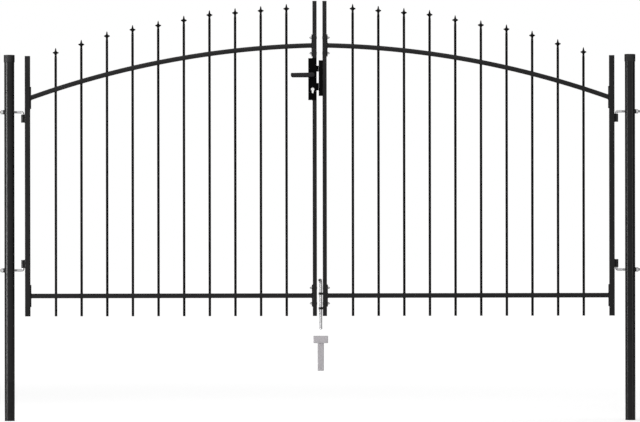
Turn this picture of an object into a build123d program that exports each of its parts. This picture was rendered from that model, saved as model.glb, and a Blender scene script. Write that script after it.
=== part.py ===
from build123d import *

import math
import os

# Double garden gate: two spear-topped leaves hung between round posts.
# The origin is the centre of the left post's foot, X runs along the gate,
# Y points away from the viewer and Z is up. All sizes are in millimetres.

# Overall layout
width_over_posts = 3000.0
overall_height = 1995.0
leaf_bottom_height = 496.5
meeting_gap = 27.5
cut_overrun = 5.0

# Posts and caps
post_diameter = 48.0
post_wall = 1.5
post_rise = 2.0
cap_wall = 1.9
cap_crown = 4.0
cap_skirt = 32.0
cap_clearance = 0.1
cap_edge_radius = 3.0

# Stiles and their plugs
hinge_stile_side = 25.0
hinge_stile_rise = 200.0
meeting_stile_side = 20.0
stile_wall = 1.5
stile_corner_radius = 2.0
plug_head = 2.0
plug_shank = 14.0
plug_clearance = 0.1

# Panels
rail_height = 22.0
rail_depth = 20.0
bottom_rail_height = 97.0
arch_radius = 4310.0
arch_apex_drop = 210.5
arch_apex_overrun = 68.0
end_plate_height = 105.0
end_plate_thickness = 4.5
bar_count = 10
bar_diameter = 12.0
bar_spread_allowance = 2.0
bolt_hole_diameter = 8.5
bolt_spacing = 74.0

# Spear tips, each with its bar's extra length from the hinge side on
spear_rise = 200.0
bar_extra_lengths = [-3.1, -1.4, 5.2, 5.4, -0.7, 1.3, 8.0, 2.6, 1.0, 2.5]
spear_neck_diameter = 10.0
spear_rim_diameter = 28.0
spear_rim_thickness = 4.0
spear_spike_diameter = 8.0
spear_point_diameter = 1.2
spear_socket_length = 13.0
spear_flare_length = 10.0
spear_crown_length = 9.0
spear_spike_length = 12.0

# Hinges
hinge_axis_offset = 65.0
upper_hook_drop = 269.4
lower_hook_rise = 219.0
hook_diameter = 12.0
hook_bend_radius = 8.0
hook_overhang = 28.0
hook_hole_clearance = 0.25
barrel_diameter = 18.0
barrel_length = 38.0
barrel_standoff = 11.6
barrel_weld_width = 10.0
pin_clearance = 0.1
pin_recess = 2.0
saddle_diameter = 24.0
saddle_thickness = 5.0
nut_across_flats = 18.0
nut_thickness = 10.0
nut_chamfer = 1.0

# Lock
lock_width = 40.0
lock_height = 199.0
lock_depth = 30.0
lock_wall = 2.0
lock_corner_radius = 2.0
lock_plate_gap = 8.25
lock_backset = 19.0
lever_axis_share = 0.6
cylinder_drop_share = 0.3428
cylinder_diameter = 15.0
cylinder_leg_width = 8.5
cylinder_height = 26.0
cylinder_proud = 3.0
cylinder_clearance = 0.1
cam_slot_width = 10.0
cam_bridge_height = 6.0
keyway_width = 2.2
keyway_height = 9.0
keyway_depth = 7.0
keyway_drop = 1.5
slide_clearance = 0.3
bolt_rest_gap = 0.3
bolt_tail_length = 24.0
latch_height = 28.0
latch_thickness = 12.0
latch_rise_share = 0.1522
latch_bevel = 6.0
latch_tail_length = 18.0
dead_bolt_height = 35.5
dead_bolt_thickness = 8.0
dead_bolt_drop_share = 0.2808

# Levers
lever_length = 104.0
lever_height = 20.7
lever_tip_height = 19.0
lever_upper_corner = 5.0
lever_lower_corner = 9.5
lever_thickness = 12.0
lever_standoff = 30.0
lever_gap = 0.5
lever_hub_diameter = 20.0
lever_neck_diameter = 17.0
lever_hub_length = 8.0
lever_edge_radius = 4.0
spindle_side = 8.0
spindle_seat = 20.0
spindle_clearance = 0.1

# Keeper
keeper_gap = 9.5
keeper_wall = 3.0
keeper_height_share = 0.85
keeper_rise_share = 0.1

# Drop bolt, its guides and its ground socket
rod_diameter = 14.0
rod_tip_drop = 63.8
rod_handle_rise = 171.0
rod_bend_radius = 14.0
rod_handle_length = 45.0
rod_handle_turn = 7.0
rod_tip_chamfer = 2.0
guide_wall = 2.7
guide_length = 11.0
guide_weld_width = 10.0
upper_guide_rise = 106.0
lower_guide_rise = 36.5
socket_head_width = 70.0
socket_head_height = 34.0
socket_depth = 40.0
socket_stem_width = 30.0
socket_stem_length = 131.7
socket_top_drop = 94.7
socket_bore_diameter = 18.0
socket_bore_depth = 80.0
socket_mouth_chamfer = 2.0
socket_edge_radius = 2.0

# Places along the left leaf, worked out from the sizes above
gate_centre = (width_over_posts - post_diameter) / 2
post_radius = post_diameter / 2
hinge_stile_outer = hinge_axis_offset + barrel_diameter / 2
panel_start = hinge_stile_outer + hinge_stile_side
meeting_face = gate_centre - meeting_gap / 2
panel_end = meeting_face - meeting_stile_side
bar_pitch = (panel_end - panel_start - bar_spread_allowance) / (bar_count + 1)
arch_centre = gate_centre + arch_apex_overrun
lock_left = meeting_face - lock_width
lock_axis = meeting_face - lock_backset
bolt_tip = meeting_face + keeper_gap - bolt_rest_gap
bolt_tail = meeting_face - lock_wall - bolt_tail_length
latch_tail = meeting_face - lock_wall - latch_tail_length
guide_diameter = rod_diameter + 2 * (slide_clearance + guide_wall)
rod_axis = gate_centre + meeting_gap / 2 - guide_diameter / 2


def arch_height_at(x):
    """Height of the arched rail's centre line at a distance along the left leaf."""
    drop = arch_radius - math.sqrt(arch_radius ** 2 - (arch_centre - x) ** 2)
    return overall_height - arch_apex_drop - drop


def bar_places():
    return [panel_start + (index + 1) * bar_pitch for index in range(bar_count)]


def bar_tops():
    """Heights of the bars' ends, where the spear tips stand."""
    rises = [spear_rise - spear_height + extra for extra in bar_extra_lengths]
    return [arch_height_at(place) + rise for place, rise in zip(bar_places(), rises)]


# Heights, worked out from the arch and the leaf's bottom
bottom_rail_centre = leaf_bottom_height + bottom_rail_height
meeting_plate_centre = arch_height_at(panel_end - end_plate_thickness / 2)
hinge_stile_top = arch_height_at(panel_start) + hinge_stile_rise
post_length = hinge_stile_top + post_rise
upper_hook_height = post_length - upper_hook_drop
lower_hook_height = leaf_bottom_height + lower_hook_rise
spear_height = (spear_socket_length + spear_flare_length + spear_rim_thickness
                + spear_crown_length + spear_spike_length)
lock_top_height = meeting_plate_centre - end_plate_height / 2 - lock_plate_gap
lock_bottom_height = lock_top_height - lock_height
lever_axis_height = lock_bottom_height + lever_axis_share * lock_height
cylinder_centre_height = lever_axis_height - cylinder_drop_share * lock_height
latch_centre_height = lever_axis_height + latch_rise_share * lock_height
dead_bolt_centre_height = lever_axis_height - dead_bolt_drop_share * lock_height
rod_handle_height = leaf_bottom_height + rod_handle_rise
socket_top_height = leaf_bottom_height - socket_top_drop


def to_right(piece):
    """The same piece on the right leaf."""
    return piece.mirror(Plane.YZ.offset(gate_centre))


def upright(section, bottom, top):
    """A flat section, drawn on the ground plane, raised between two heights."""
    return extrude(Pos(0, 0, bottom) * section, top - bottom)


def on_elevation(outline, near, far):
    """An outline drawn in X and Z, made solid between two depths along Y."""
    return extrude(Plane.XZ.offset(-near) * outline, near - far)


# Posts
def post():
    ring = Circle(post_radius) - Circle(post_radius - post_wall)
    tube = upright(ring, 0, post_length)
    hole_radius = hook_diameter / 2 + hook_hole_clearance
    for height in (upper_hook_height, lower_hook_height):
        tube -= Pos(0, 0, height) * Rot(0, 90, 0) * Cylinder(hole_radius, post_diameter + cut_overrun)
    return tube


def post_cap():
    skirt_radius = post_radius + cap_clearance
    body = upright(Circle(skirt_radius + cap_wall), post_length - cap_skirt, post_length + cap_crown)
    body -= upright(Circle(skirt_radius), post_length - cap_skirt, post_length)
    return fillet(body.edges().group_by(Axis.Z)[-1], cap_edge_radius)


# Hinges
def hinge_hook(height, turn):
    """Threaded rod through the post, bent into a pin that points down (-1) or up (+1)."""
    pin_end = height + turn * (barrel_standoff + barrel_length - pin_recess)
    start = (-post_radius - hook_overhang, 0, height)
    corner = (hinge_axis_offset, 0, height)
    path = FilletPolyline(start, corner, (hinge_axis_offset, 0, pin_end), radius=hook_bend_radius)
    return sweep(Plane(start, z_dir=(1, 0, 0)) * Circle(hook_diameter / 2), path=path)


def hinge_barrel(height, turn):
    bore = Circle(hook_diameter / 2 + pin_clearance)
    reach = barrel_diameter / 2
    weld = Pos(reach / 2, 0) * Rectangle(reach, barrel_weld_width)
    section = Pos(hinge_axis_offset, 0) * (Circle(reach) + weld - bore)
    ends = sorted((height + turn * barrel_standoff, height + turn * (barrel_standoff + barrel_length)))
    return upright(section, *ends)


def hinge_barrels():
    return [hinge_barrel(upper_hook_height, -1), hinge_barrel(lower_hook_height, 1)]


def outside_post(section, near, far, height):
    """A section across the hook's thread, made solid between two distances from the post's surface."""
    start = Plane((-post_radius - near, 0, height), x_dir=(0, 1, 0), z_dir=(-1, 0, 0))
    return extrude(start * section, far - near)


def saddle_washer(height):
    hole = Circle(hook_diameter / 2 + hook_hole_clearance)
    washer = outside_post(Circle(saddle_diameter / 2) - hole, -post_radius, saddle_thickness, height)
    return washer - Pos(0, 0, height) * Cylinder(post_radius, saddle_diameter + cut_overrun)


def hook_nut(height):
    corner_radius = nut_across_flats / math.sqrt(3)
    hexagon = RegularPolygon(corner_radius, side_count=6) - Circle(hook_diameter / 2 + hook_hole_clearance)
    nut = outside_post(hexagon, saddle_thickness, saddle_thickness + nut_thickness, height)
    outer_edges = nut.edges().group_by(Axis.X)[0].filter_by(GeomType.LINE)
    return chamfer(outer_edges, nut_chamfer)


def at_both_hooks(maker):
    return [maker(upper_hook_height), maker(lower_hook_height)]


# Stiles
def square_tube(side, middle, bottom, top):
    hollow = side - 2 * stile_wall
    section = RectangleRounded(side, side, stile_corner_radius)
    section -= RectangleRounded(hollow, hollow, stile_corner_radius - stile_wall)
    return upright(Pos(middle, 0) * section, bottom, top)


def tube_plug(side, middle, end, inward):
    """Plastic plug: a head as wide as the tube and a shank inside it."""
    shank_side = side - 2 * stile_wall - 2 * plug_clearance
    shank_radius = stile_corner_radius - stile_wall
    head_outline = Pos(middle, 0) * RectangleRounded(side, side, stile_corner_radius)
    shank_outline = Pos(middle, 0) * RectangleRounded(shank_side, shank_side, shank_radius)
    head_end = end + inward * plug_head
    head = upright(head_outline, *sorted((end, head_end)))
    shank = upright(shank_outline, *sorted((head_end, head_end + inward * plug_shank)))
    return head + shank


def hinge_stile():
    middle = hinge_stile_outer + hinge_stile_side / 2
    return square_tube(hinge_stile_side, middle, leaf_bottom_height + plug_head, hinge_stile_top - plug_head)


def hinge_stile_plugs():
    middle = hinge_stile_outer + hinge_stile_side / 2
    return [tube_plug(hinge_stile_side, middle, leaf_bottom_height, 1),
            tube_plug(hinge_stile_side, middle, hinge_stile_top, -1)]


def bolt_holes():
    """Holes for the bolts that join the panel's end plates to the meeting stile."""
    drill = Rot(0, 90, 0) * Cylinder(bolt_hole_diameter / 2, 2 * (meeting_stile_side + cut_overrun))
    heights = [centre + side * bolt_spacing / 2
               for centre in (bottom_rail_centre, meeting_plate_centre) for side in (-1, 1)]
    return [Pos(panel_end, 0, height) * drill for height in heights]


def meeting_stile(bottom, top):
    middle = meeting_face - meeting_stile_side / 2
    return square_tube(meeting_stile_side, middle, bottom, top) - bolt_holes()


def meeting_stile_lengths():
    """The left meeting stile, in two lengths with the lock case between them."""
    return [meeting_stile(leaf_bottom_height + plug_head, lock_bottom_height),
            meeting_stile(lock_top_height, overall_height - plug_head)]


def whole_meeting_stile():
    return meeting_stile(leaf_bottom_height + plug_head, overall_height - plug_head)


def meeting_stile_plugs():
    middle = meeting_face - meeting_stile_side / 2
    return [tube_plug(meeting_stile_side, middle, leaf_bottom_height, 1),
            tube_plug(meeting_stile_side, middle, overall_height, -1)]


# Panels
def arched_rail():
    start = panel_start + end_plate_thickness
    end = panel_end - end_plate_thickness
    apex_height = overall_height - arch_apex_drop
    ring = Circle(arch_radius + rail_height / 2) - Circle(arch_radius - rail_height / 2)
    span = Pos((start + end) / 2, apex_height) * Rectangle(end - start, arch_radius)
    outline = (Pos(arch_centre, apex_height - arch_radius) * ring) & span
    return on_elevation(outline, -rail_depth / 2, rail_depth / 2)


def bottom_rail():
    start = panel_start + end_plate_thickness
    end = panel_end - end_plate_thickness
    return Pos((start + end) / 2, 0, bottom_rail_centre) * Box(end - start, rail_depth, rail_height)


def end_plates():
    """Upright plates that close the rails' ends and lie against the stiles."""
    plates = []
    for edge, inward in ((panel_start, 1), (panel_end, -1)):
        middle = edge + inward * end_plate_thickness / 2
        for height in (bottom_rail_centre, arch_height_at(middle)):
            plates.append(Pos(middle, 0, height) * Box(end_plate_thickness, rail_depth, end_plate_height))
    return plates


def round_bars():
    bars = []
    for place, top in zip(bar_places(), bar_tops()):
        bars.append(upright(Pos(place, 0) * Circle(bar_diameter / 2), leaf_bottom_height, top))
    return bars


def panel():
    return arched_rail().fuse(bottom_rail(), *end_plates(), *round_bars()) - bolt_holes()


def spear_tip():
    """Turned spear head: socket, flared collar and a slim spike, standing on the bar's end."""
    neck_top = spear_socket_length
    rim_bottom = neck_top + spear_flare_length
    rim_top = rim_bottom + spear_rim_thickness
    spike_foot = rim_top + spear_crown_length
    base = (bar_diameter / 2, 0)
    neck = (spear_neck_diameter / 2, neck_top)
    low_rim = (spear_rim_diameter / 2, rim_bottom)
    high_rim = (spear_rim_diameter / 2, rim_top)
    foot = (spear_spike_diameter / 2, spike_foot)
    point = (spear_point_diameter / 2, spear_height)
    spike_fall = Vector(foot) - Vector(point)
    outline = [
        Line((0, 0), base),
        Line(base, neck),
        TangentArc(neck, low_rim, tangent=(0, 1)),
        Line(low_rim, high_rim),
        TangentArc(foot, high_rim, tangent=spike_fall),
        Line(foot, point),
        Line(point, (0, spear_height)),
        Line((0, spear_height), (0, 0)),
    ]
    return revolve(Plane.XZ * make_face(outline), Axis.Z)


def spear_tips():
    tips = []
    for place, top in zip(bar_places(), bar_tops()):
        tips.append(Pos(place, 0, top) * spear_tip())
    return tips


# Lock
def cylinder_outline(growth):
    """Round plug above a narrow leg, with the leg pointing down."""
    plug_radius = cylinder_diameter / 2
    leg_end = plug_radius - cylinder_height + cylinder_leg_width / 2
    leg = Pos(0, leg_end / 2) * Rectangle(cylinder_leg_width + 2 * growth, -leg_end)
    foot = Pos(0, leg_end) * Circle(cylinder_leg_width / 2 + growth)
    return Pos(lock_axis, cylinder_centre_height) * (Circle(plug_radius + growth) + leg + foot)


def bolt_mouth(height, bolt_height, bolt_thickness):
    size = (2 * (lock_wall + cut_overrun), bolt_thickness + 2 * slide_clearance,
            bolt_height + 2 * slide_clearance)
    return Pos(meeting_face, 0, height) * Box(*size)


def lock_case():
    middle = Pos((lock_left + meeting_face) / 2, 0)
    outer = upright(middle * RectangleRounded(lock_width, lock_depth, lock_corner_radius),
                    lock_bottom_height, lock_top_height)
    inner = upright(middle * Rectangle(lock_width - 2 * lock_wall, lock_depth - 2 * lock_wall),
                    lock_bottom_height + lock_wall, lock_top_height - lock_wall)
    half_cut = lock_depth / 2 + cut_overrun
    spindle_reach = spindle_side / math.sqrt(2) + slide_clearance
    spindle_hole = Pos(lock_axis, lever_axis_height) * Circle(spindle_reach)
    case = outer - inner
    case -= on_elevation(cylinder_outline(cylinder_clearance), -half_cut, half_cut)
    case -= on_elevation(spindle_hole, -half_cut, half_cut)
    case -= bolt_mouth(latch_centre_height, latch_height, latch_thickness)
    case -= bolt_mouth(dead_bolt_centre_height, dead_bolt_height, dead_bolt_thickness)
    return case


def lock_cylinder():
    """Key cylinder through both faces, notched in the middle for its cam."""
    half = lock_depth / 2 + cylinder_proud
    body = on_elevation(cylinder_outline(0), -half, half)
    keyway = Box(keyway_width, 2 * keyway_depth, keyway_height)
    for face in (-half, half):
        body -= Pos(lock_axis, face, cylinder_centre_height - keyway_drop) * keyway
    leg_end = cylinder_centre_height + cylinder_diameter / 2 - cylinder_height
    slot_height = cylinder_height - cam_bridge_height + cut_overrun
    slot_bottom = leg_end + cam_bridge_height
    slot = Box(cylinder_diameter + cut_overrun, cam_slot_width, slot_height)
    return body - Pos(lock_axis, 0, slot_bottom + slot_height / 2) * slot


def latch_bolt():
    outline = Polyline((latch_tail, -latch_thickness / 2), (bolt_tip - latch_bevel, -latch_thickness / 2),
                       (bolt_tip, latch_thickness / 2), (latch_tail, latch_thickness / 2), close=True)
    return upright(make_face(outline), latch_centre_height - latch_height / 2,
                   latch_centre_height + latch_height / 2)


def dead_bolt():
    middle = Pos((bolt_tip + bolt_tail) / 2, 0, dead_bolt_centre_height)
    return middle * Box(bolt_tip - bolt_tail, dead_bolt_thickness, dead_bolt_height)


# Levers
def lever_blade():
    """Lever seen from the front: a round hub and a long arm with a rounded tip."""
    hub_radius = lever_height / 2
    arm = make_face(Polyline((0, hub_radius), (-lever_length, lever_tip_height - hub_radius),
                             (-lever_length, -hub_radius), (0, -hub_radius), close=True))
    tip_corners = arm.vertices().group_by(Axis.X)[0].sort_by(Axis.Y)
    arm = fillet(tip_corners[0], lever_lower_corner)
    upper_corner = arm.vertices().group_by(Axis.X)[0].sort_by(Axis.Y)[-1]
    return Circle(hub_radius) + fillet(upper_corner, lever_upper_corner)


def lever(front):
    """One lever with its neck and hub, in front (-1) or behind (+1) the lock case."""
    hub_start = lock_depth / 2 + lever_gap
    neck_start = hub_start + lever_hub_length
    blade_start = hub_start + lever_standoff
    blade_end = blade_start + lever_thickness
    place = Pos(lock_axis, lever_axis_height)
    blade = on_elevation(place * lever_blade(), front * blade_start, front * blade_end)
    blade = fillet(blade.edges(), lever_edge_radius)
    hub = on_elevation(place * Circle(lever_hub_diameter / 2), front * hub_start, front * neck_start)
    neck = on_elevation(place * Circle(lever_neck_diameter / 2), front * neck_start, front * blade_start)
    socket_side = spindle_side + 2 * spindle_clearance
    socket = on_elevation(place * Rectangle(socket_side, socket_side), front * hub_start,
                          front * (hub_start + spindle_seat))
    return blade + hub + neck - socket


def lever_spindle():
    length = lock_depth + 2 * (lever_gap + spindle_seat)
    return Pos(lock_axis, 0, lever_axis_height) * Box(spindle_side, length, spindle_side)


# Keeper on the right leaf
def lock_keeper():
    """Shallow box on the right meeting stile, open towards the lock."""
    stile_face = gate_centre + meeting_gap / 2
    width = meeting_gap - keeper_gap
    height = keeper_height_share * lock_height
    middle_height = lock_bottom_height + keeper_rise_share * lock_height + height / 2
    body = Pos(stile_face - width / 2, 0, middle_height) * Box(width, lock_depth, height)
    pocket_length = width - keeper_wall + cut_overrun
    pocket = Box(pocket_length, lock_depth - 2 * keeper_wall, height - 2 * keeper_wall)
    return body - Pos(stile_face - keeper_wall - pocket_length / 2, 0, middle_height) * pocket


# Drop bolt, guides and ground socket
def drop_bolt():
    turn = math.radians(rod_handle_turn)
    handle_end = (rod_axis - rod_handle_length * math.sin(turn), -rod_handle_length * math.cos(turn),
                  rod_handle_height)
    start = (rod_axis, 0, leaf_bottom_height - rod_tip_drop)
    path = FilletPolyline(start, (rod_axis, 0, rod_handle_height), handle_end, radius=rod_bend_radius)
    rod = sweep(Plane(start) * Circle(rod_diameter / 2), path=path)
    return chamfer(rod.edges().group_by(Axis.Z)[0], rod_tip_chamfer)


def drop_bolt_guide(rise):
    height = leaf_bottom_height + rise
    reach = guide_diameter / 2
    weld = Pos(reach / 2, 0) * Rectangle(reach, guide_weld_width)
    bore = Circle(rod_diameter / 2 + slide_clearance)
    section = Pos(rod_axis, 0) * (Circle(reach) + weld - bore)
    return upright(section, height - guide_length / 2, height + guide_length / 2)


def ground_socket():
    head_bottom = socket_top_height - socket_head_height
    head = upright(RectangleRounded(socket_head_width, socket_depth, socket_edge_radius),
                   head_bottom, socket_top_height)
    stem = upright(RectangleRounded(socket_stem_width, socket_stem_width, socket_edge_radius),
                   head_bottom - socket_stem_length, head_bottom)
    bore = upright(Circle(socket_bore_diameter / 2), socket_top_height - socket_bore_depth, socket_top_height)
    body = head + stem - bore
    mouth = body.edges().filter_by(GeomType.CIRCLE).group_by(Axis.Z)[-1].sort_by(SortBy.RADIUS)[-1]
    return Pos(rod_axis, 0) * chamfer(mouth, socket_mouth_chamfer)


def as_list(piece):
    return piece if isinstance(piece, list) else [piece]


def pair(name, piece):
    """A sub-part of the left side and its mirror image on the right side."""
    solids = as_list(piece)
    return {"left_" + name: solids, "right_" + name: [to_right(solid) for solid in solids]}


def all_nodes():
    nodes = {}
    nodes.update(pair("post", post()))
    nodes.update(pair("post_cap", post_cap()))
    nodes.update(pair("upper_hinge_hook", hinge_hook(upper_hook_height, -1)))
    nodes.update(pair("lower_hinge_hook", hinge_hook(lower_hook_height, 1)))
    nodes.update(pair("saddle_washers", at_both_hooks(saddle_washer)))
    nodes.update(pair("hook_nuts", at_both_hooks(hook_nut)))
    nodes.update(pair("hinge_barrels", hinge_barrels()))
    nodes.update(pair("hinge_stile", hinge_stile()))
    nodes.update(pair("hinge_stile_plugs", hinge_stile_plugs()))
    nodes["left_meeting_stile"] = meeting_stile_lengths()
    nodes["right_meeting_stile"] = [to_right(whole_meeting_stile())]
    nodes.update(pair("meeting_stile_plugs", meeting_stile_plugs()))
    nodes.update(pair("panel", panel()))
    nodes.update(pair("spear_tips", spear_tips()))
    nodes["lock_case"] = [lock_case()]
    nodes["lock_cylinder"] = [lock_cylinder()]
    nodes["latch_bolt"] = [latch_bolt()]
    nodes["dead_bolt"] = [dead_bolt()]
    nodes["front_lever"] = [lever(-1)]
    nodes["back_lever"] = [lever(1)]
    nodes["lever_spindle"] = [lever_spindle()]
    nodes["lock_keeper"] = [lock_keeper()]
    nodes["upper_drop_bolt_guide"] = [drop_bolt_guide(upper_guide_rise)]
    nodes["lower_drop_bolt_guide"] = [drop_bolt_guide(lower_guide_rise)]
    nodes["drop_bolt"] = [drop_bolt()]
    nodes["ground_socket"] = [ground_socket()]
    return nodes


os.makedirs("parts", exist_ok=True)
for node, solids in all_nodes().items():
    export_step(Compound(children=solids) if len(solids) > 1 else solids[0], f"parts/{node}.step")
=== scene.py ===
import math

import bmesh
import bpy
from mathutils import Matrix, Vector

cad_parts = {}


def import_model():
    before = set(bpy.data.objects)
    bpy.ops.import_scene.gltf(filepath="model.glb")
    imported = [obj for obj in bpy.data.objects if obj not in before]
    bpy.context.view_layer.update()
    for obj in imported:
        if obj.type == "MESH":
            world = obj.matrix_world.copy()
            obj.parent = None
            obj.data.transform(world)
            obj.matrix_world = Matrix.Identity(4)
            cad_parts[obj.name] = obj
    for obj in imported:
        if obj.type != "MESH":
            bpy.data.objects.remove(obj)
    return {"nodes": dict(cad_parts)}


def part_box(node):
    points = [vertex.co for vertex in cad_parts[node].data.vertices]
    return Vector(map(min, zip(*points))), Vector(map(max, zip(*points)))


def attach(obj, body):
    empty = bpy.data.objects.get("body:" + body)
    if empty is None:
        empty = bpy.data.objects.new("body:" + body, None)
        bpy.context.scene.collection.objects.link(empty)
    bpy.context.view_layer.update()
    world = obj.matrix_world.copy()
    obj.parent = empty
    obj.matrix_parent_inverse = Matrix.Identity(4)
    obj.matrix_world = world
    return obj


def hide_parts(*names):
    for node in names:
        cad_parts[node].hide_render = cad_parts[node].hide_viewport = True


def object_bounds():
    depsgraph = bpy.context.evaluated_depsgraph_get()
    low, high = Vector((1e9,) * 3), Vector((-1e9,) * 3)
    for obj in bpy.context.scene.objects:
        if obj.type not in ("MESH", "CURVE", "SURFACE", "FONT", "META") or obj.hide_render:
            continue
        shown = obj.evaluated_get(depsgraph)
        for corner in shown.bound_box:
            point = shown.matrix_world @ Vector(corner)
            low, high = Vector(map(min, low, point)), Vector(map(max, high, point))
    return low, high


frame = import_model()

# Double garden gate: coated steel, zinc fittings, weld beads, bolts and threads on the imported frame.
# Sizes are in metres and in the frame's axes: X along the gate, Y away from the viewer, Z up.

# Places taken from the frame
cad_low, cad_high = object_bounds()
post_low, post_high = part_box("left_post")
cap_low, cap_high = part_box("left_post_cap")
panel_low, panel_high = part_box("left_panel")
hinge_stile_low, hinge_stile_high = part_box("left_hinge_stile")
hinge_plug_low, hinge_plug_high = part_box("left_hinge_stile_plugs")
meeting_stile_low, meeting_stile_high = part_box("left_meeting_stile")
meeting_plug_low, meeting_plug_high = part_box("left_meeting_stile_plugs")
barrel_low, barrel_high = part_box("left_hinge_barrels")
upper_hook_low, upper_hook_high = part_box("left_upper_hinge_hook")
lower_hook_low, lower_hook_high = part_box("left_lower_hinge_hook")
lock_low, lock_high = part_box("lock_case")
cylinder_low, cylinder_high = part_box("lock_cylinder")
keeper_low, keeper_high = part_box("lock_keeper")
upper_guide_low, upper_guide_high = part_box("upper_drop_bolt_guide")
lower_guide_low, lower_guide_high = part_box("lower_drop_bolt_guide")
rod_low, rod_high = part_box("drop_bolt")
socket_low, socket_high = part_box("ground_socket")
gate_centre = (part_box("right_post")[1].x + post_low.x) / 2
leaf_bottom = panel_low.z
meeting_face = meeting_stile_high.x
right_meeting_face = 2 * gate_centre - meeting_face

# Posts, caps and hinges
post_radius = 0.024
post_wall = 0.0015
post_edge = 0.000375
cap_radius = 0.026
cap_edge = 0.003
cap_crown = 0.0008
cap_crown_shares = (0.75, 0.5, 0.25, 0.01)
cap_skirt_edge = 0.0007
hook_radius = 0.006
hook_bend = 0.008
hook_chamfer = 0.0012
hook_pitch = 0.00175
hook_thread_length = 0.088
saddle_radius = 0.0105
saddle_thickness = 0.005
saddle_edge = 0.0012
nut_across = 0.018
nut_thickness = 0.010
barrel_radius = 0.009
barrel_bore = 0.0061
barrel_length = 0.038
barrel_edge = 0.0006
barrel_weld_share = 0.6
hinge_axis = 0.065

# Stiles and panels
stile_corner = 0.002
plug_head = 0.002
plug_edge = 0.0009
rail_height = 0.022
rail_depth = 0.020
rail_corner = 0.002
bottom_rail_rise = 0.097
arch_radius = 4.310
arch_apex_drop = 0.2105
arch_apex_overrun = 0.068
plate_height = 0.105
plate_thickness = 0.0045
plate_corner = 0.0015
plate_edge = 0.0008
bar_count = 10
bar_radius = 0.006
bar_spread_allowance = 0.002
bar_end_edge = 0.0008
spear_rise = 0.200
bar_extra_lengths = [-0.0031, -0.0014, 0.0052, 0.0054, -0.0007, 0.0013, 0.008, 0.0026, 0.001, 0.0025]

# Turned spear tip, from its foot on the bar's end
spear_neck_radius = 0.005
spear_rim_radius = 0.014
spear_spike_radius = 0.004
spear_point_radius = 0.0006
spear_socket_length = 0.013
spear_flare_length = 0.009
spear_rim_thickness = 0.006
spear_crown_length = 0.008
spear_spike_length = 0.012
spear_rim_edge = 0.001
spear_waist_radius_share = 0.7
spear_waist_height_share = 0.55

# Bolts through the meeting stiles
bolt_spacing = 0.074
bolt_radius = 0.003
bolt_pitch = 0.001
bolt_head_radius = 0.0065
bolt_head_height = 0.0012
bolt_head_rim_share = 0.3
bolt_head_tip_radius = 0.00025
bolt_end_length = 0.0098
bolt_end_chamfer = 0.0005
bolt_washer_radius = 0.006
bolt_washer_thickness = 0.0012
bolt_washer_edge = 0.0002
bolt_nut_across = 0.010
bolt_nut_thickness = 0.005
bolt_nut_bore = bolt_radius - bolt_pitch / 3

# Lock, keeper, drop bolt and ground socket
plug_ring_radius = 0.0058
plug_ring_width = 0.0005
plug_ring_proud = 0.0003
plug_ring_edge = 0.0001
keeper_wall = 0.003
keeper_edge = 0.0009
rod_radius = 0.007
rod_bend = 0.014
rod_chamfer = 0.002
rod_handle_length = 0.045
rod_handle_chamfer = 0.001
rod_handle_turn = math.radians(7.0)
# The black cap on the handle's end is painted shade, darkening the end of the handle
rod_shade_cap_radius = 0.005
rod_shade_cap_thickness = 0.0008
guide_radius = 0.010
guide_bore = 0.0073
guide_edge = 0.0006
guide_weld_share = 0.55
socket_head_height = 0.034
socket_head_depth = 0.040
socket_stem_side = 0.030
socket_corner = 0.002
socket_edge = 0.0016
socket_top_edge_share = 0.3
socket_bore_radius = 0.009
socket_bore_depth = 0.080
socket_mouth = 0.002

# Weld beads
bar_bead = 0.0013
rail_bead = 0.0016
hinge_bead = 0.0022
barrel_end_bead = 0.0017
barrel_end_sink = 0.0004
lock_bead = 0.00198
guide_bead = 0.00192
ripple_length = 0.0024
ripple_share = 0.14
bead_end_share = 0.4
steep_share = 0.9
keeper_weld_shares = (0.08, 0.42, 0.76)
keeper_weld_length_share = 1 / 6

# Screw threads and nuts
thread_depth_share = 0.6
nut_face_share = 0.96

# Fineness of the round shapes
fine_sides = 96
ring_sides = 64
round_sides = 48
rod_sides = 40
hook_sides = 32
bar_sides = 32
bolt_sides = 24
bead_sides = 8
curve_steps = 8
arch_steps = 72
bend_steps = 14
handle_bend_steps = 20
tube_corner_steps = 6
bar_bead_steps = 24
rail_bead_corner_steps = 4
rail_bead_side_steps = 16
ripple_steps = 6
bead_least_steps = 4
thread_steps = 8
socket_corner_steps = 3
socket_side_steps = 10
least_corner_share = 0.25
smooth_angle = math.radians(34)

# Shares in the materials
noise_low = 0.3
noise_high = 0.7
green_share = 0.96
coat_shade_share = 0.15
lock_shade_share = 0.2

# Camera
camera_distance = 25.0
picture_width_at_gate = 3.044
camera_place_x = 1.4771
camera_place_z = 0.9958
camera_roll = -0.0015
sensor_width_mm = 36.0
clip_near = 0.1
clip_far = 300.0

# Floor and world
floor_size = 120.0
floor_drop = 0.0005
floor_fade_start = 1.0
floor_fade_end = 9.0
floor_near_glow = 0.31
floor_far_glow = 0.7
world_light = 0.4

# Black cards and lamps, with power in watts
flag_height = 14.0
flag_left = -9.0
flag_right = 12.0
flag_back = 2.5
left_flag_front = -1.0
right_flag_place = 8.0
right_flag_front = -4.0
strip_width = 1.2
strip_height = 2.6
strip_level = 1.2
strip_spread = math.radians(64)
key_place = (-3.4, -1.8, strip_level)
key_target = (-0.6, 0, strip_level)
key_power = 42
rim_place = (2 * gate_centre + 3.1, -2.2, strip_level)
rim_target = (2 * gate_centre + 0.6, 0, strip_level)
rim_power = 5
fill_place = (1.0, -9.0, 5.0)
fill_target = (gate_centre, 0, 1.0)
fill_width = 4.0
fill_height = 3.0
fill_power = 250
top_place = (gate_centre, 0.5, 6.0)
top_target = (gate_centre, 0, 0)
top_width = 6.0
top_depth = 4.0
top_power = 150

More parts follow.
